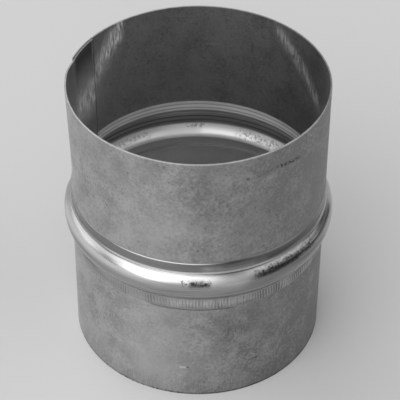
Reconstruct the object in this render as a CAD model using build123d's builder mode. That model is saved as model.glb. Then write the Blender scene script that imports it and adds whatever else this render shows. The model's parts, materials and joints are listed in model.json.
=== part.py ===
from build123d import *
from math import atan, cos, degrees, radians, sin, tan
import os

# Coupling sleeve for round duct: one strip of zinc-coated steel, rolled up, lapped and seam-welded,
# with a stop bead rolled outwards at mid-length. The axis is Z and the lower rim stands at Z = 0.

# Driving dimensions, in millimetres and degrees
outside_diameter = 100.0  # across the plain round outside of both spigots
sheet = 0.6  # thickness of the steel
spigot_length = 47.2  # plain length at each end, up to the rolled zone
shoulder_width = 4.6  # band that the beading roller leaves on each side of the bead
shoulder_rise = 0.3  # how far that band stands proud of the spigot
ledge_slope = 15.0  # slope of the step from the spigot up to the band
bead_width = 14.4  # across the bead where it leaves the bands
bead_height = 2.9  # crest above the bands
bead_root_radius = 2.0  # hollow curve at each foot of the bead
seam_angle = 155.9  # middle of the lap, counted from +X towards +Y
lap_width = 14.6  # how far one end of the strip lies over the other
lap_gap = 0.15  # air left between the two ends beside the weld
joggle_length = 10.0  # run over which the inner end bends in from the plain round
weld_width = 4.0  # welded stripe along the middle of the lap

# Sizes that follow from the driving dimensions
outside_radius = outside_diameter / 2
overall_length = 2 * (spigot_length + shoulder_width) + bead_width
inner_end_offset = -sheet - lap_gap
ledge_length = shoulder_rise / sin(radians(ledge_slope))
shoulder_flat = shoulder_width - ledge_length * cos(radians(ledge_slope))

# Two tangent arcs, hollow then round, climb from the foot of the bead to its crest
bead_slope = degrees(2 * atan(bead_height / (bead_width / 2)))
bead_crest_radius = bead_width / 2 / sin(radians(bead_slope)) - bead_root_radius

lap_angle = degrees(lap_width / outside_radius)
lap_start = seam_angle - lap_angle / 2
lap_end = seam_angle + lap_angle / 2
joggle_end = lap_end + degrees(joggle_length / outside_radius)
joggle_stations = 4
weld_angle = degrees(weld_width / outside_radius)
weld_start = seam_angle - weld_angle / 2
down = -90.0


def sheet_line(offset):
    """Draw the sleeve's outline from the upper rim down, at an offset from the plain outside."""
    # A fold's corner slides along the sheet from layer to layer, and its bends keep one centre
    slide = offset * tan(radians(ledge_slope) / 2)
    spigot = spigot_length - slide
    band = shoulder_flat + slide
    root_radius = bead_root_radius - offset
    crest_radius = bead_crest_radius + offset
    upper_spigot = PolarLine((outside_radius + offset, overall_length), spigot, down)
    upper_ledge = PolarLine(upper_spigot @ 1, ledge_length, down + ledge_slope)
    upper_band = PolarLine(upper_ledge @ 1, band, down)
    upper_root = JernArc(upper_band @ 1, upper_band % 1, root_radius, bead_slope)
    crest = JernArc(upper_root @ 1, upper_root % 1, crest_radius, -2 * bead_slope)
    lower_root = JernArc(crest @ 1, crest % 1, root_radius, bead_slope)
    lower_band = PolarLine(lower_root @ 1, band, down)
    lower_ledge = PolarLine(lower_band @ 1, ledge_length, down - ledge_slope)
    lower_spigot = PolarLine(lower_ledge @ 1, spigot, down)
    return upper_spigot @ 0, lower_spigot @ 1


def section(angle, outer_offset, thickness=sheet):
    """Cut a layer of the given thickness at an angle round the axis, out to the given offset."""
    across = (cos(radians(angle)), sin(radians(angle)), 0)
    along = (sin(radians(angle)), -cos(radians(angle)), 0)
    with BuildSketch(Plane((0, 0, 0), x_dir=across, z_dir=along)) as cut:
        with BuildLine():
            outer_ends = sheet_line(outer_offset)
            inner_ends = sheet_line(outer_offset - thickness)
            for outer_end, inner_end in zip(outer_ends, inner_ends):
                Line(outer_end, inner_end)
        make_face()
    return cut.sketch


def joggle():
    """Sections of the inner end as it eases from under the lap back to the plain round."""
    cuts = []
    for station in range(joggle_stations + 1):
        share = station / joggle_stations
        eased = share * share * (3 - 2 * share)
        angle = lap_end + (joggle_end - lap_end) * share
        cuts.append(section(angle, inner_end_offset * (1 - eased)))
    return cuts


with BuildPart() as coupling_sleeve:
    # The strip in its plain round, from the joggle all the way to its free edge on the outside
    revolve(section(joggle_end, 0), axis=Axis.Z, revolution_arc=360 - (joggle_end - lap_end))

    # The other end bends in at the joggle and lies under the lap
    loft(joggle())
    revolve(section(lap_start, inner_end_offset), axis=Axis.Z, revolution_arc=lap_angle)

    # The weld joins the two ends along the middle of the lap
    revolve(section(weld_start, -sheet, lap_gap), axis=Axis.Z, revolution_arc=weld_angle)

coupling_sleeve.part.label = "coupling_sleeve"
os.makedirs("parts", exist_ok=True)
export_step(coupling_sleeve.part, "parts/coupling_sleeve.step")
print(f"overall length {overall_length:.2f}, crest radius {bead_crest_radius:.2f}")
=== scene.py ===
"""Dresses a coupling sleeve for round duct: one rolled, lapped and beaded strip of zinc-coated steel."""

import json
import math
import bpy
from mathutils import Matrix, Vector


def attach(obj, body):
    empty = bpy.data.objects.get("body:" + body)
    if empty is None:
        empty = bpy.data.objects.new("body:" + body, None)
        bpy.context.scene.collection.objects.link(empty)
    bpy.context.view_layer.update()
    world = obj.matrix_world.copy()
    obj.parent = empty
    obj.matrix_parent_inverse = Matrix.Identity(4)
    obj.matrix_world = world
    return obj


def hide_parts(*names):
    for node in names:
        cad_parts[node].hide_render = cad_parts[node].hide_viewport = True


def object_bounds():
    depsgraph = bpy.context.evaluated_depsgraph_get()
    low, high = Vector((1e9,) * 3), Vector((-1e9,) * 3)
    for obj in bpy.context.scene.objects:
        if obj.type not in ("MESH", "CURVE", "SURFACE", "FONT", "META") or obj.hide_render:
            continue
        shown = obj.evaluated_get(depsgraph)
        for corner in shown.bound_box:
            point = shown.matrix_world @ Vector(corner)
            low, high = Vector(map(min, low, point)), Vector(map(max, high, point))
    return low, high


bl_info = {
    "name": "Duct Coupling Sleeve",
    "version": (1, 0, 0),
    "blender": (4, 5, 0),
    "location": "View3D > Sidebar > Sleeve",
    "description": "Builds a rolled and beaded coupling sleeve over its packed solid, with a plain stage",
    "category": "Object",
}

from types import SimpleNamespace
from typing import NamedTuple

import bmesh
import bpy
from bpy.props import FloatProperty, FloatVectorProperty, IntProperty, PointerProperty
from mathutils import Matrix, Vector, noise

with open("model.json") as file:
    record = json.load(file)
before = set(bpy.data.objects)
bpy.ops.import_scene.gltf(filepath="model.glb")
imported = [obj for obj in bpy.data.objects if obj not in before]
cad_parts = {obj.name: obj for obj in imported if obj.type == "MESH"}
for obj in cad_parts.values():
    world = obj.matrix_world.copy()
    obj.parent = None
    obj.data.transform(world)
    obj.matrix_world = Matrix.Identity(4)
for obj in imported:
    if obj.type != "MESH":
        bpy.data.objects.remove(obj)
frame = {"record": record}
CAD_LOW, CAD_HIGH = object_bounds()

NODE = "coupling_sleeve"
MM = 0.001
SPIGOT = next(m["dims"] for m in frame["record"]["mounts"] if m["name"] == "upper_spigot")
OUTSIDE_RADIUS = SPIGOT["r_mm"] * MM
SPIGOT_LENGTH = SPIGOT["length_mm"] * MM
OVERALL_LENGTH = CAD_HIGH.z - CAD_LOW.z
UP = Vector((0, 0, 1))
DOWN = -UP


def linear(hex_colour):
    """Turns an sRGB hex value into linear red, green and blue."""
    channels = [int(hex_colour[i : i + 2], 16) / 255 for i in (0, 2, 4)]
    return [c / 12.92 if c <= 0.04045 else ((c + 0.055) / 1.055) ** 2.4 for c in channels]


def length(name, description, default):
    """A size in metres that a user may change."""
    return FloatProperty(name=name, description=description, default=default, unit="LENGTH", precision=5)


def angle(name, description, degrees):
    """An angle that a user may change, given in degrees."""
    return FloatProperty(name=name, description=description, default=math.radians(degrees), unit="ROTATION")


def colour(name, description, hex_colour):
    """A colour that a user may change, given as sRGB hex."""
    return FloatVectorProperty(
        name=name, description=description, default=linear(hex_colour), subtype="COLOR", min=0, max=1
    )


def amount(name, description, default):
    """A plain number that a user may change."""
    return FloatProperty(name=name, description=description, default=default, min=0, subtype="FACTOR")


class SleeveSizes(bpy.types.PropertyGroup):
    outside_radius: length("Outside radius", "Plain round outside of both spigots", OUTSIDE_RADIUS)
    overall_length: length("Overall length", "From rim to rim", OVERALL_LENGTH)
    spigot_length: length("Spigot length", "Plain length at each end", SPIGOT_LENGTH)
    sheet: length("Sheet", "Thickness of the steel", 0.6 * MM)
    shoulder_width: length("Shoulder width", "Band beside the bead left by the roller", 4.6 * MM)
    shoulder_rise: length("Shoulder rise", "How far the band's edge stands proud", 0.3 * MM)
    ledge_turn: angle("Ledge turn", "How steeply the band's edge turns out", 42.0)
    bead_turn: angle("Bead turn", "Steepest slope of the bead's flanks", 43.9)
    bead_root_radius: length("Bead root radius", "Hollow curve at each foot of the bead", 2.0 * MM)
    seam_angle: angle("Seam angle", "Middle of the lap, from +X towards +Y", 155.9)
    lap_width: length("Lap width", "How far one end lies over the other", 14.6 * MM)
    lap_gap: length("Lap gap", "Air between the two ends", 0.15 * MM)
    joggle_length: length("Joggle length", "Run over which the inner end bends in", 10.0 * MM)
    ridges: IntProperty(name="Ridges", description="Roller ridges round the sleeve", default=256, min=36)
    ridge_depth: length("Ridge depth", "Depth of the roller's ridges below the bead", 0.2 * MM)
    ridge_run: length("Ridge run", "How far the ridges run on below the shoulder", 0.8 * MM)
    ridge_climb: length("Ridge climb", "How far the ridges climb into the bead's foot", 0.4 * MM)
    spring: length("Spring", "How far the mouth has sprung out of round", 0.8 * MM)


class ZincFinish(bpy.types.PropertyGroup):
    dull: colour("Dull zinc", "Weathered zinc on the plain spigots", "808080")
    pale: colour("Pale zinc", "Brighter clouds in the zinc", "b0b0b0")
    # The lining tone also paints an upright highlight on the left outside
    lining: colour("Lining", "Cleaner zinc inside the sleeve and in pale zones outside", "c4c4c4")
    ridge: colour("Ridges", "Zinc pressed into ridges below the bead", "a8a8a8")
    # The crest tone also paints the bead's lower flank a little darker as shade
    crest: colour("Crest", "Worn zinc on the crest and lower flank of the bead", "a0a0a0")
    bead: colour("Bead", "Zinc stretched bright on the upper flank of the bead", "acacac")
    # The band tone is dark dragged zinc and partly a painted dark reflection
    band: colour("Roller band", "Dark zinc dragged smooth above the bead", "848484")
    # The bore tone also paints light on the inside wall under the bead
    bore: colour("Bore", "Bright zinc inside the bead, where no roller rubbed", "fafafa")
    # The rubbed tone also paints highlights along the left of the bead and the front of the upper rim
    rubbed_and_highlight: colour("Rubbed", "Streaks and edges rubbed bright", "eeeeee")
    # The dark tone also paints shade: in the ridge grooves, under the ledges, along the lower rim, at the top
    # of the lap, on the right of the band, bead and bore, and a dark reflection along the bead
    dirt_and_shade: colour("Dirt", "Specks, scuffs, scratches and darkened zinc", "2c2c2c")


class StageLook(bpy.types.PropertyGroup):
    floor: colour("Floor", "Plain pale floor", "c4c4c4")
    overhead: amount("Overhead light", "Strength of the soft light above", 0.25)
    side: amount("Side light", "Strength of the soft light from the far left", 1.35)
    front: amount("Front light", "Strength of the soft light from the near left", 2.2)
    right: amount("Right light", "Strength of the soft light from the right", 0.85)
    horizon: amount("Horizon", "Strength of the dim surroundings", 0.04)
    distance: length("Camera distance", "From the middle of the sleeve to the camera", 684 * MM)
    elevation: angle("Camera elevation", "Above the horizon", 40.67)
    roll: angle("Camera roll", "Turn of the camera about its own line of sight", 0.58)
    lens: FloatProperty(
        name="Lens", description="Focal length on a 36 mm sensor", default=154.6, unit="CAMERA"
    )
    shift: FloatProperty(name="Shift", description="Sideways shift of the picture", default=0.004)


def extend(bm, tip, heading, run, rows):
    """Draws a straight run of the outline on from its tip."""
    for _ in range(rows):
        tip = bmesh.ops.extrude_vert_indiv(bm, verts=[tip])["verts"][0]
        bmesh.ops.translate(bm, verts=[tip], vec=heading * run / rows)
    return tip


def bend(bm, tip, heading, radius, turn, steps):
    """Draws an arc of the outline on from its tip; a positive turn goes outwards."""
    outwards = Vector((-heading.z, 0, heading.x))
    centre = tip.co + outwards * math.copysign(radius, turn)
    swept = bmesh.ops.spin(bm, geom=[tip], cent=centre, axis=(0, -1, 0), angle=turn, steps=steps)
    tip = next(g for g in swept["geom_last"] if isinstance(g, bmesh.types.BMVert))
    return tip, Matrix.Rotation(-turn, 3, "Y") @ heading


def draw_outline(bm, sizes):
    """Draws the strip's outside from the upper rim down to the lower one, as a chain in the XZ plane."""
    ledge = sizes.ledge_turn
    bead = sizes.bead_turn
    ledge_radius = sizes.shoulder_rise / (2 - 2 * math.cos(ledge))
    flat = sizes.shoulder_width - 2 * ledge_radius * math.sin(ledge)
    half_bead = sizes.overall_length / 2 - sizes.spigot_length - sizes.shoulder_width
    root = sizes.bead_root_radius
    crest = half_bead / math.sin(bead) - root

    ledge_steps, root_steps, crest_steps = 4, 10, 22
    spigot_rows, flat_rows, run_rows = 14, 6, 3
    bends = [
        (ledge_radius, ledge, ledge_steps, 0, 0),
        (ledge_radius, -ledge, ledge_steps, flat, flat_rows),
        (root, bead, root_steps, 0, 0),
        (crest, -2 * bead, crest_steps, 0, 0),
        (root, bead, root_steps, flat, flat_rows),
        (ledge_radius, -ledge, ledge_steps, 0, 0),
        (ledge_radius, ledge, ledge_steps, sizes.ridge_run, run_rows),
    ]
    tip = bm.verts.new((sizes.outside_radius, 0, sizes.overall_length))
    heading = DOWN
    tip = extend(bm, tip, heading, sizes.spigot_length, spigot_rows)
    for radius, turn, steps, straight, rows in bends:
        tip, heading = bend(bm, tip, heading, radius, turn, steps)
        if straight:
            tip = extend(bm, tip, heading, straight, rows)
    extend(bm, tip, heading, sizes.spigot_length - sizes.ridge_run, spigot_rows)


def smooth_step(share):
    """Eases a share from 0 to 1."""
    share = min(1, max(0, share))
    return share * share * (3 - 2 * share)


def stretch(turn, middle, half, full=0.0):
    """How far a turn lies in a stretch round the sleeve, in degrees: 1 up to full, easing to 0 at half."""
    away = abs(math.degrees(math.remainder(turn - math.radians(middle), math.tau)))
    return smooth_step((half - away) / (half - full))


def roll_strip(bm, sizes):
    """Rolls the outline into a strip that laps over its own start, which is pressed in under the lap."""
    step = math.tau / sizes.ridges
    lap = sizes.lap_width / sizes.outside_radius
    joggle = sizes.joggle_length / sizes.outside_radius
    start = Matrix.Rotation(sizes.seam_angle - lap / 2, 3, "Z")
    bmesh.ops.rotate(bm, verts=bm.verts[:], cent=(0, 0, 0), matrix=start)
    under = bm.verts.layers.float.new("under")
    for vert in bm.verts:
        vert[under] = 1
    column = bm.verts[:] + bm.edges[:]
    swept = 0
    for run in (lap, joggle, math.tau - joggle):
        steps = max(4, round(run / step))
        for _ in range(steps):
            spun = bmesh.ops.spin(bm, geom=column, cent=(0, 0, 0), axis=UP, angle=run / steps, steps=1)
            column = spun["geom_last"]
            swept += run / steps
            for vert in column:
                if isinstance(vert, bmesh.types.BMVert):
                    vert[under] = 1 - smooth_step((swept - lap) / joggle)
    bmesh.ops.recalc_face_normals(bm, faces=bm.faces[:])
    if bm.faces[0].normal.dot(bm.faces[0].calc_center_median().xy.to_3d()) < 0:
        bmesh.ops.reverse_faces(bm, faces=bm.faces[:])
    bm.normal_update()
    drop = sizes.sheet + sizes.lap_gap
    for vert in bm.verts:
        vert.co -= vert.normal * drop * vert[under]


def ridge_groove(place, share, ridges):
    """Depth of the roller's groove at a place, as a share; each ridge has its own strength and lower end."""
    wobble_size = 6 * MM
    sway = 2.5
    unlike_step = 0.37
    lower_fade, upper_fade = 0.12, 0.08
    turn = math.atan2(place.y, place.x)
    wobble = noise.noise(place / wobble_size)
    wave = 0.5 - 0.5 * math.cos(turn * ridges + sway * wobble)
    ridge = round(turn * ridges / math.tau)
    odd = noise.noise(Vector((unlike_step * ridge, 0.5, 0.5)))
    lower_end, upper_end = 0.1 - 0.3 * odd, 0.98
    ends = smooth_step((share - lower_end) / lower_fade) * smooth_step((upper_end - share) / upper_fade)
    lost = 0.6 * stretch(turn, middle=-150, half=39, full=9)
    strength = max(0, 0.75 + 0.6 * wobble + 0.7 * odd)
    return wave * ends * (1 - lost) * strength


def press_ridges(bm, sizes):
    """Presses the roller's fine upright ridges into the outside below the bead, faint at the near left."""
    low = sizes.spigot_length - sizes.ridge_run
    high = sizes.spigot_length + sizes.shoulder_width + sizes.ridge_climb
    band = [
        f
        for f in bm.faces
        if low < f.calc_center_median().z < high and f.normal.dot(f.calc_center_median().xy.to_3d()) > 0
    ]
    same_height = 0.001 * MM
    rings = {e for f in band for e in f.edges if abs(e.verts[0].co.z - e.verts[1].co.z) < same_height}
    cuts_in_ridge = 4
    bmesh.ops.subdivide_edges(bm, edges=list(rings), cuts=cuts_in_ridge, use_grid_fill=True)
    groove = bm.verts.layers.float.new("groove")
    outer_layer = sizes.outside_radius - sizes.sheet / 3
    margin = 0.02
    for vert in bm.verts:
        share = (vert.co.z - low) / (high - low)
        radius = vert.co.xy.length
        if margin < share < 1 - margin and radius > outer_layer:
            vert[groove] = ridge_groove(vert.co, share, sizes.ridges)
            vert.co.xy *= 1 - sizes.ridge_depth * vert[groove] / radius


def spring_mouth(bm, sizes):
    """Lets the thin mouth spring out at the seam and in at the near right, as in a hand-rolled piece."""
    foot = sizes.overall_length - sizes.spigot_length
    foot_ease = 0.2
    inward_share = 0.9
    for vert in bm.verts:
        share = (vert.co.z - foot) / sizes.spigot_length
        if share <= 0:
            continue
        turn = math.atan2(vert.co.y, vert.co.x)
        seam_side = stretch(turn, middle=185, half=70) * smooth_step(share / foot_ease)
        near_right = stretch(turn, middle=-45, half=60)
        lift = seam_side * (2 * share - 1) - inward_share * near_right * share
        vert.co.xy *= 1 + sizes.spring * lift / vert.co.xy.length


def mark_inside(bm):
    """Notes for the finish which skin of the sheet each vertex lies on."""
    inside = bm.verts.layers.float.new("inside")
    for vert in bm.verts:
        vert[inside] = float(vert.normal.dot(vert.co.xy.to_3d()) < 0)


def feed(tree, node, inputs):
    """Sets or links a node's inputs; a node given as a value stands for its first output in use."""
    for key, value in inputs.items():
        if isinstance(value, bpy.types.Node):
            value = next(out for out in value.outputs if out.enabled)
        if isinstance(value, bpy.types.NodeSocket):
            tree.links.new(value, node.inputs[key])
        else:
            node.inputs[key].default_value = value


def add_node(tree, kind, inputs=None, **settings):
    """Adds a node with its settings, and feeds its inputs."""
    node = tree.nodes.new(kind)
    for name, value in settings.items():
        setattr(node, name, value)
    feed(tree, node, inputs or {})
    return node


def multiply(tree, first, second):
    """One value times another."""
    return add_node(tree, "ShaderNodeMath", {0: first, 1: second}, operation="MULTIPLY")


def distance(tree, value, middle):
    """How far a value lies from a middle one, to either side."""
    off = add_node(tree, "ShaderNodeMath", {0: value, 1: middle}, operation="SUBTRACT")
    return add_node(tree, "ShaderNodeMath", {0: off}, operation="ABSOLUTE")


def remap(tree, value, low, high, to_low=0.0, to_high=1.0, **settings):
    """Carries a value from one range to another and holds it at the ends."""
    inputs = {"Value": value, "From Min": low, "From Max": high, "To Min": to_low, "To Max": to_high}
    return add_node(tree, "ShaderNodeMapRange", inputs, **settings)


def ease(tree, value, low, high, to_high=1.0):
    """Carries a value from 0 at the low end to the other end with soft ends."""
    return remap(tree, value, low, high, to_high=to_high, interpolation_type="SMOOTHSTEP")


# Sockets of a colour mix and of a plain mix
SHARE, UNDER, OVER = 0, 6, 7
PLAIN_UNDER, PLAIN_OVER = 2, 3


def blend(tree, share, under, over):
    """Lays a share of one colour over another."""
    return add_node(tree, "ShaderNodeMix", {SHARE: share, UNDER: under, OVER: over}, data_type="RGBA")


def blend_plain(tree, share, under, over):
    """Lays a share of one plain number over another."""
    inputs = {SHARE: share, PLAIN_UNDER: under, PLAIN_OVER: over}
    return add_node(tree, "ShaderNodeMix", inputs, data_type="FLOAT")


def pattern_noise(tree, where, size, **inputs):
    """A noise with features of about the given size."""
    return add_node(tree, "ShaderNodeTexNoise", {"Vector": where, "Scale": 1 / size, **inputs})


# Sizes of the zinc's patterns, and how far the handling and the rollers draw them out
CLOUD = 9 * MM
PATCH = 24 * MM
GRAIN = 1.2 * MM
STROKE = 0.5 * MM
DRAWN_LINE = 0.8 * MM
PIT_DEPTH = 0.03 * MM
LONG_UPRIGHT = (1, 1, 0.12)
LONG_AROUND = (0.04, 0.04, 1)

# Tones and roughness on each skin, by height from the bead's middle in millimetres, with some painted shade
TONE_REACH = 12.5
OUTSIDE_TONES = (
    (-11.8, "ridge", 0.3),
    (-7.4, "ridge", 0.3),
    # Worn crest and lower flank, painted a little darker than the upper flank as shade
    (-6.8, "crest", 0.2),
    (-0.2, "crest", 0.2),
    (1.8, "bead", 0.2),
    (7.0, "bead", 0.2),
    # The band above the bead: dark zinc dragged smooth, darkened further as a painted dark reflection
    (7.8, "band", 0.2),
    (11.2, "band", 0.2),
    (11.5, "crest", 0.3),
    (11.8, "crest", 0.3),
)
INSIDE_TONES = (
    # The lowest stops paint shade over the inner lower ledge
    (-11.8, "dull", 0.9),
    (-10.8, "dull", 0.9),
    (-10.2, "lining", 0.45),
    (-7.6, "lining", 0.45),
    (-7.0, "bore", 0.75),
    (-2.4, "bore", 0.75),
    (-1.4, "bead", 0.4),
    (6.8, "bead", 0.4),
    (7.4, "bore", 0.7),
)


class Haze(NamedTuple):
    """A broad zone of another tone with soft edges, laid as painted light or painted shade, placed in degrees
    of turn and millimetres of height.
    """

    skin: str
    middle: float
    half: float
    height: float
    spread: float
    tone: str
    strength: float


class Mark(NamedTuple):
    """A mark of making, handling, painted light or painted shade, placed like a haze; it may drop, in
    millimetres for each degree.
    """

    skin: str
    middle: float
    half: float
    height: float
    spread: float
    tone: str
    texture: str
    strength: float
    roughness: float = 0.85
    drop: float = 0.0


# Painted highlight: an upright pale band on the left outside
PAINTED_LIGHT_HAZES = (
    Haze("outside", -112.0, 42.0, 22.0, 60.0, "lining", 0.45),
    Haze("outside", -113.0, 36.0, 84.0, 26.0, "lining", 0.35),
    # Painted light on the inside wall under the bead, and painted shade on the inside at the right
    Haze("inside", 90.0, 150.0, 42.0, 18.0, "bore", 0.65),
    Haze("inside", 20.0, 45.0, 92.0, 60.0, "dirt_and_shade", 0.5),
)

MARKS = (
    # Patches rubbed bright in the bore, a thin bright line slanting down its right wall, and painted shade on
    # the top of the lap
    Mark("inside", 128.0, 26.0, 54.6, 3.4, "rubbed_and_highlight", "solid", 0.8, roughness=0.4),
    Mark("inside", 76.0, 16.0, 54.8, 4.0, "bore", "solid", 0.8, roughness=0.5),
    Mark("inside", 138.0, 12.0, 107.0, 12.0, "rubbed_and_highlight", "streaks", 1.0, drop=0.9),
    Mark("inside", 157.5, 11.0, 93.5, 14.0, "rubbed_and_highlight", "streaks", 1.0),
    Mark("inside", 157.0, 10.0, 115.0, 16.0, "dirt_and_shade", "solid", 0.85),
    Mark("inside", 36.0, 20.0, 104.0, 6.5, "rubbed_and_highlight", "streaks", 0.5, drop=-0.61),
    # Edges of the lap
    Mark("inside", 147.6, 0.8, 118.0, 90.0, "dirt_and_shade", "solid", 0.6),
    Mark("outside", 164.4, 0.6, 59.0, 150.0, "dirt_and_shade", "solid", 0.8),
    # Lines that the rollers drew inside the bead
    Mark("inside", 90.0, 85.0, 64.0, 1.3, "rubbed_and_highlight", "lines", 0.5),
    Mark("inside", 90.0, 85.0, 61.0, 0.9, "dirt_and_shade", "lines", 0.6),
    Mark("inside", 90.0, 85.0, 58.7, 0.8, "dirt_and_shade", "lines", 0.5),
    Mark("inside", 90.0, 85.0, 69.2, 0.6, "dirt_and_shade", "lines", 0.35, roughness=0.7),
    Mark("inside", 90.0, 85.0, 67.3, 0.6, "dirt_and_shade", "lines", 0.35, roughness=0.7),
    # Specks inside the bead, a faint scratch on the far wall and the shaded lower ledge
    Mark("inside", 92.0, 5.0, 56.0, 1.5, "dirt_and_shade", "dots", 0.5, roughness=0.75),
    Mark("inside", 60.0, 14.0, 54.6, 2.6, "dirt_and_shade", "dots", 0.5, roughness=0.75),
    Mark("inside", 122.0, 10.0, 54.8, 2.2, "dirt_and_shade", "dots", 0.4, roughness=0.75),
    Mark("inside", 82.0, 8.0, 100.0, 1.0, "rubbed_and_highlight", "dots", 0.3, roughness=0.6),
    Mark("inside", 0.0, 300.0, 47.8, 0.8, "dirt_and_shade", "solid", 0.4, roughness=0.9),
    # Bright and dark lines along the bead and its upper band
    # Painted highlight along the left of the bead, over rubbed lines
    Mark("outside", -140.0, 40.0, 62.0, 3.0, "rubbed_and_highlight", "lines", 0.8, roughness=0.2),
    Mark("outside", -73.0, 17.0, 62.8, 2.6, "rubbed_and_highlight", "lines", 0.7, roughness=0.45),
    Mark("outside", -95.0, 45.0, 66.0, 0.7, "rubbed_and_highlight", "lines", 0.9, roughness=0.5),
    # Painted shade on the right of the crest
    Mark("outside", -46.0, 28.0, 60.4, 4.0, "dirt_and_shade", "lines", 0.4, roughness=0.3),
    # A painted dark reflection along the bead at the right
    Mark("outside", -36.0, 34.0, 62.8, 1.8, "dirt_and_shade", "lines", 0.9, roughness=0.4, drop=-0.02),
    Mark("outside", -73.0, 10.0, 67.6, 2.4, "rubbed_and_highlight", "lines", 0.35, roughness=0.3),
    Mark("outside", -73.0, 17.0, 67.6, 2.4, "rubbed_and_highlight", "lines", 0.35, roughness=0.3),
    # Dark blotches on the bead, and painted shade on the right end of the band
    Mark("outside", -91.0, 8.0, 62.4, 2.0, "dirt_and_shade", "dots", 1.0, roughness=0.6),
    Mark("outside", -89.0, 5.0, 62.0, 1.7, "dirt_and_shade", "solid", 0.8, roughness=0.5),
    Mark("outside", -49.0, 20.0, 63.0, 3.0, "dirt_and_shade", "dots", 1.0, roughness=0.6),
    Mark("outside", -54.0, 13.0, 62.6, 2.2, "dirt_and_shade", "solid", 0.7, roughness=0.5),
    Mark("outside", -52.0, 36.0, 68.2, 4.5, "dirt_and_shade", "lines", 0.7, roughness=0.3),
    # Upper rim, dull at the back as painted shade and bright at the front as a painted highlight, and the
    # broken scratch below it
    Mark("outside", 90.0, 120.0, 118.0, 0.4, "dull", "solid", 0.3),
    Mark("inside", 90.0, 120.0, 118.0, 0.4, "dull", "solid", 0.3),
    Mark("outside", -90.0, 75.0, 118.0, 0.5, "rubbed_and_highlight", "solid", 0.45, roughness=0.6),
    Mark("outside", -48.5, 8.0, 109.2, 1.4, "dirt_and_shade", "dots", 1.0, drop=0.1),
    Mark("outside", -61.0, 5.0, 109.2, 2.6, "dirt_and_shade", "dots", 0.5),
    Mark("outside", -69.0, 0.9, 108.9, 1.0, "dirt_and_shade", "solid", 0.5),
    # Scuffs and nicks of the lower spigot, painted shade along its cut edge and under the step, and bright
    # ridges
    Mark("outside", -92.0, 58.0, 2.0, 10.0, "dirt_and_shade", "streaks", 0.18),
    Mark("outside", -96.0, 2.2, 15.0, 0.8, "rubbed_and_highlight", "solid", 0.5, drop=0.1),
    Mark("outside", -94.2, 0.7, 15.0, 0.7, "dirt_and_shade", "solid", 0.6),
    Mark("outside", -84.0, 22.0, 50.2, 3.2, "rubbed_and_highlight", "streaks", 0.35, roughness=0.5),
    # A line of painted shade under the step below the ridges
    Mark("outside", -93.0, 22.0, 46.7, 0.7, "dirt_and_shade", "lines", 0.5, roughness=0.7),
    # A painted contact shadow along the lower cut edge, darker at the right
    Mark("outside", 0.0, 300.0, 0.0, 1.4, "dirt_and_shade", "dots", 0.9),
    Mark("outside", -55.0, 60.0, 0.0, 0.9, "dirt_and_shade", "solid", 0.6),
    Mark("outside", -63.7, 3.0, 15.5, 0.8, "dirt_and_shade", "dots", 0.8),
    Mark("outside", -72.0, 7.0, 33.8, 5.0, "dirt_and_shade", "streaks", 0.3),
)


def find_spot(tree, sizes):
    """Where a point lies on the sleeve: its turn, height and skin, and whether the rollers ran over it."""
    place = add_node(tree, "ShaderNodeTexCoord").outputs["Object"]
    axes = add_node(tree, "ShaderNodeSeparateXYZ", {"Vector": place}).outputs
    inside = add_node(tree, "ShaderNodeAttribute", attribute_name="inside").outputs["Fac"]
    groove = add_node(tree, "ShaderNodeAttribute", attribute_name="groove").outputs["Fac"]
    bead_height = sizes.overall_length / 2
    half_zone = bead_height - sizes.spigot_length
    fade_out, fade_in = half_zone + 0.4 * MM, half_zone - 0.1 * MM
    return SimpleNamespace(
        place=place,
        across=axes["X"],
        height=axes["Z"],
        turn=add_node(tree, "ShaderNodeMath", {0: axes["Y"], 1: axes["X"]}, operation="ARCTAN2"),
        inside=inside,
        outside=add_node(tree, "ShaderNodeMath", {0: 1.0, 1: inside}, operation="SUBTRACT"),
        groove=groove,
        above_bead=add_node(tree, "ShaderNodeMath", {0: axes["Z"], 1: bead_height}, operation="SUBTRACT"),
        rolled=remap(tree, distance(tree, axes["Z"], bead_height), fade_out, fade_in),
    )


def zinc_patterns(tree, spot):
    """Clouds and grain of the zinc, upright strokes of handling and lines drawn round by the rollers."""
    upright = add_node(tree, "ShaderNodeMapping", {"Vector": spot.place, "Scale": LONG_UPRIGHT})
    around = add_node(tree, "ShaderNodeMapping", {"Vector": spot.place, "Scale": LONG_AROUND})
    clouds = pattern_noise(tree, spot.place, CLOUD, Detail=6.0, Roughness=0.65)
    grain = pattern_noise(tree, spot.place, GRAIN, Detail=3.0, Roughness=0.8)
    return SimpleNamespace(
        clouds=clouds,
        grain=grain,
        mottle=add_node(tree, "ShaderNodeMath", {0: grain, 1: clouds}, operation="ADD"),
        patches=pattern_noise(tree, spot.place, PATCH, Detail=2.0),
        strokes=pattern_noise(tree, upright, STROKE, Detail=4.0),
        lines=pattern_noise(tree, around, DRAWN_LINE, Detail=3.0),
    )


def ink(palette, name):
    """A colour of a property group, made opaque."""
    return (*getattr(palette, name), 1)


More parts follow.
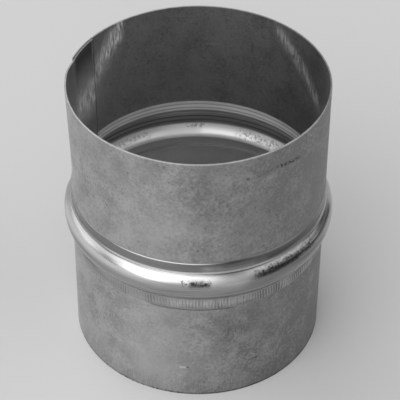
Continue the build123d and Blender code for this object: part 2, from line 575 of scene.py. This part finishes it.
def plain_zinc(tree, spot, pattern, finish, sizes):
    """Dull clouded zinc of the spigots with painted light on the left and painted shade on the right; cleaner
    inside, with fine specks.
    """
    darkest, palest = 0.82, 1.24
    even_shade = 0.5
    bore_rough = 0.4
    shade = remap(tree, pattern.mottle, darkest, palest)
    uneven = remap(tree, pattern.patches, 0.35, 0.62, to_low=0.5)
    shade = blend_plain(tree, uneven, even_shade, shade)
    # Painted light and shade: the zinc turns paler towards the left and duller towards the right
    painted_side_light = -0.42 / sizes.outside_radius
    shade = add_node(
        tree, "ShaderNodeMath", {0: spot.across, 1: painted_side_light, 2: shade}, operation="MULTIPLY_ADD"
    )
    tone = blend(tree, shade, ink(finish, "dull"), ink(finish, "pale"))
    cleaned = remap(tree, pattern.mottle, darkest, palest, to_low=0.35, to_high=0.8)
    tone = blend(tree, multiply(tree, spot.inside, cleaned), tone, ink(finish, "lining"))
    specks = remap(tree, pattern.grain, 0.36, 0.27, to_high=0.7)
    tone = blend(tree, specks, tone, ink(finish, "dirt_and_shade"))
    rough = remap(tree, pattern.clouds, 0.3, 0.7, to_low=0.48, to_high=0.62)
    return tone, blend_plain(tree, spot.inside, rough, bore_rough)


def tone_ramp(tree, across, stops, finish):
    """A ramp over the rolled zone with the tones in its colour and the roughness in its alpha."""
    ramp = add_node(tree, "ShaderNodeValToRGB", {"Fac": across})
    elements = ramp.color_ramp.elements
    elements.remove(elements[1])
    for i, (level, name, roughness) in enumerate(stops):
        position = (level + TONE_REACH) / (2 * TONE_REACH)
        stop = elements.new(position) if i else elements[0]
        stop.position = position
        stop.color = (*getattr(finish, name), roughness)
    return ramp.outputs


def rolled_zinc(tree, spot, pattern, finish):
    """Zinc under the rollers: smooth bands of tone on each skin, with drawn lines and painted shade in the
    grooves.
    """
    across = remap(tree, spot.above_bead, -TONE_REACH * MM, TONE_REACH * MM)
    outside = tone_ramp(tree, across, OUTSIDE_TONES, finish)
    inside = tone_ramp(tree, across, INSIDE_TONES, finish)
    tone = blend(tree, spot.inside, outside["Color"], inside["Color"])
    rough = blend_plain(tree, spot.inside, outside["Alpha"], inside["Alpha"])
    line_dirt, groove_shade = 0.6, 0.6
    drawn = remap(tree, pattern.lines, 0.55, 0.75, to_high=line_dirt)
    tone = blend(tree, multiply(tree, drawn, spot.outside), tone, ink(finish, "dirt_and_shade"))
    # Painted shade in the grooves between the ridges, deeper where they are deeper
    tone = blend(tree, multiply(tree, spot.groove, groove_shade), tone, ink(finish, "dirt_and_shade"))
    return tone, rough


def zone_area(tree, spot, zone, drop=0.0, full=0.0):
    """A soft patch on one skin: its strength along its middle line, easing to 0 past the full share of it."""
    middle = math.radians(zone.middle)
    half = math.radians(zone.half)
    slope = drop * MM / math.radians(1)
    line = add_node(
        tree, "ShaderNodeMath", {0: spot.turn, 1: slope, 2: spot.height}, operation="MULTIPLY_ADD"
    )
    near = ease(tree, distance(tree, line, zone.height * MM + slope * middle), zone.spread * MM, 0.0)
    within = ease(tree, distance(tree, spot.turn, middle), half, full * half)
    area = multiply(tree, multiply(tree, near, within), getattr(spot, zone.skin))
    return multiply(tree, area, zone.strength)


def lay_marks(tree, spot, pattern, finish, tone, rough):
    """Lays the hazes of painted light and shade over the zinc, and then the marks with their textures."""
    textures = {
        "streaks": remap(tree, pattern.strokes, 0.38, 0.6),
        "lines": remap(tree, pattern.lines, 0.25, 0.45),
        "dots": remap(tree, pattern.grain, 0.48, 0.58),
        "solid": remap(tree, pattern.grain, 0.1, 0.2),
    }
    for haze in PAINTED_LIGHT_HAZES:
        tone = blend(tree, zone_area(tree, spot, haze), tone, ink(finish, haze.tone))
    full_share = 0.7
    for mark in MARKS:
        area = zone_area(tree, spot, mark, mark.drop, full_share)
        area = multiply(tree, area, textures[mark.texture])
        tone = blend(tree, area, tone, ink(finish, mark.tone))
        rough = blend_plain(tree, area, rough, mark.roughness)
    return tone, rough


def new_material(name):
    """A new material with its tree and its one shader."""
    material = bpy.data.materials.new(name)
    material.use_nodes = True
    tree = material.node_tree
    return material, tree, next(n for n in tree.nodes if n.type == "BSDF_PRINCIPLED")


def zinc_coated_steel(finish, sizes):
    """Hot-dip zinc on rolled sheet steel: dull and cloudy, but smooth and streaky where the rollers ran."""
    material, tree, shader = new_material("hot_dip_zinc_on_sheet_steel")
    spot = find_spot(tree, sizes)
    pattern = zinc_patterns(tree, spot)
    plain_tone, plain_rough = plain_zinc(tree, spot, pattern, finish, sizes)
    rolled_tone, rolled_rough = rolled_zinc(tree, spot, pattern, finish)
    tone = blend(tree, spot.rolled, plain_tone, rolled_tone)
    rough = blend_plain(tree, spot.rolled, plain_rough, rolled_rough)
    tone, rough = lay_marks(tree, spot, pattern, finish, tone, rough)
    pits = add_node(tree, "ShaderNodeBump", {"Height": pattern.grain, "Strength": 0.5, "Distance": PIT_DEPTH})
    feed(tree, shader, {"Metallic": 1.0, "Base Color": tone, "Roughness": rough, "Normal": pits})
    return material


class SLEEVE_OT_build_sleeve(bpy.types.Operator):
    """Rolls the strip, laps and beads it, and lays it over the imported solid"""

    bl_idname = "sleeve.build_sleeve"
    bl_label = "Coupling sleeve"

    def execute(self, context):
        sizes = context.scene.sleeve_sizes
        bm = bmesh.new()
        draw_outline(bm, sizes)
        roll_strip(bm, sizes)
        bmesh.ops.solidify(bm, geom=bm.faces[:], thickness=sizes.sheet)
        press_ridges(bm, sizes)
        spring_mouth(bm, sizes)
        bm.normal_update()
        mark_inside(bm)
        crease = math.radians(50)
        for face in bm.faces:
            face.smooth = True
        for edge in bm.edges:
            edge.smooth = edge.calc_face_angle(0) < crease
        mesh = bpy.data.meshes.new("rolled_sleeve")
        bm.to_mesh(mesh)
        bm.free()
        sleeve = bpy.data.objects.new("rolled_sleeve", mesh)
        mesh.materials.append(zinc_coated_steel(context.scene.zinc_finish, sizes))
        context.scene.collection.objects.link(sleeve)
        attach(sleeve, "root")
        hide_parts(NODE)
        return {"FINISHED"}


def matt_pale_paint(look):
    """Matt pale paint: an even light ground that keeps the sleeve's soft shadow."""
    material, tree, shader = new_material("matt_pale_paint")
    feed(tree, shader, {"Base Color": ink(look, "floor"), "Roughness": 0.9, "Specular IOR Level": 0.2})
    return material


def lay_floor(look):
    """A wide plain floor just under the lower rim."""
    floor_radius = 4.0
    clearance = 0.02 * MM
    bm = bmesh.new()
    bmesh.ops.create_circle(bm, cap_ends=True, segments=96, radius=floor_radius)
    bmesh.ops.translate(bm, verts=bm.verts[:], vec=DOWN * clearance)
    mesh = bpy.data.meshes.new("floor")
    bm.to_mesh(mesh)
    bm.free()
    mesh.materials.append(matt_pale_paint(look))
    floor = bpy.data.objects.new("floor", mesh)
    return floor


def light_studio(look):
    """Soft light from above, far left, near left and right; a dim horizon gives the metal dark lines."""
    world = bpy.data.worlds.new("soft_studio")
    world.use_nodes = True
    tree = world.node_tree
    back = next(n for n in tree.nodes if n.type == "BACKGROUND")
    way = add_node(tree, "ShaderNodeTexCoord").outputs["Generated"]
    # Each glow: the way to its middle, the nearness to that way where it starts and is full, its strength
    glows = [
        (Vector((-0.2, -0.1, 1)), math.cos(math.radians(84)), math.cos(math.radians(70)), look.overhead),
        (Vector((-0.7, 0.55, 0.4)), 0.55, 0.85, look.side),
        (Vector((-0.42, -0.72, 0.55)), 0.68, 0.92, look.front),
        (Vector((0.85, -0.15, 0.52)), 0.74, 0.92, look.right),
    ]
    level = look.horizon
    for middle, start, full, strength in glows:
        nearness = add_node(
            tree, "ShaderNodeVectorMath", {0: way, 1: middle.normalized()}, operation="DOT_PRODUCT"
        )
        glow = ease(tree, nearness, start, full, strength)
        level = add_node(tree, "ShaderNodeMath", {0: glow, 1: level}, operation="ADD")
    feed(tree, back, {"Color": (1, 1, 1, 1), "Strength": level})
    return world


def aim_camera(look):
    """A long lens that looks down on the sleeve from the front."""
    data = bpy.data.cameras.new("camera")
    data.lens = look.lens
    data.sensor_width = 36
    data.shift_x = look.shift
    camera = bpy.data.objects.new("camera", data)
    middle = UP * (CAD_LOW.z + CAD_HIGH.z) / 2
    back_off = Vector((0, -math.cos(look.elevation), math.sin(look.elevation)))
    aim = (-back_off).to_track_quat("-Z", "Y").to_matrix().to_4x4()
    place = Matrix.Translation(middle + back_off * look.distance)
    camera.matrix_world = place @ aim @ Matrix.Rotation(look.roll, 4, "Z")
    return camera


class SLEEVE_OT_build_stage(bpy.types.Operator):
    """Lays the pale floor, sets the soft light and aims the camera"""

    bl_idname = "sleeve.build_stage"
    bl_label = "Stage"

    def execute(self, context):
        scene = context.scene
        look = scene.stage_look
        scene.collection.objects.link(lay_floor(look))
        scene.world = light_studio(look)
        scene.camera = aim_camera(look)
        scene.collection.objects.link(scene.camera)
        scene.view_settings.view_transform = "Standard"
        return {"FINISHED"}


class SLEEVE_PT_panel(bpy.types.Panel):
    bl_idname = "SLEEVE_PT_panel"
    bl_label = "Coupling sleeve"
    bl_space_type = "VIEW_3D"
    bl_region_type = "UI"
    bl_category = "Sleeve"

    def draw(self, context):
        for operator in OPERATORS:
            self.layout.operator(operator.bl_idname)
        for group in GROUPS:
            values = getattr(context.scene, group)
            box = self.layout.box()
            for name in values.bl_rna.properties.keys():
                if name not in ("name", "rna_type"):
                    box.prop(values, name)


OPERATORS = (SLEEVE_OT_build_sleeve, SLEEVE_OT_build_stage)
GROUPS = {"sleeve_sizes": SleeveSizes, "zinc_finish": ZincFinish, "stage_look": StageLook}
CLASSES = (*GROUPS.values(), *OPERATORS, SLEEVE_PT_panel)


def register():
    for cls in CLASSES:
        bpy.utils.register_class(cls)
    for name, group in GROUPS.items():
        setattr(bpy.types.Scene, name, PointerProperty(type=group))


def unregister():
    for name in GROUPS:
        delattr(bpy.types.Scene, name)
    for cls in reversed(CLASSES):
        bpy.utils.unregister_class(cls)


def main():
    register()
    bpy.ops.sleeve.build_sleeve()
    bpy.ops.sleeve.build_stage()


if __name__ == "__main__":
    main()
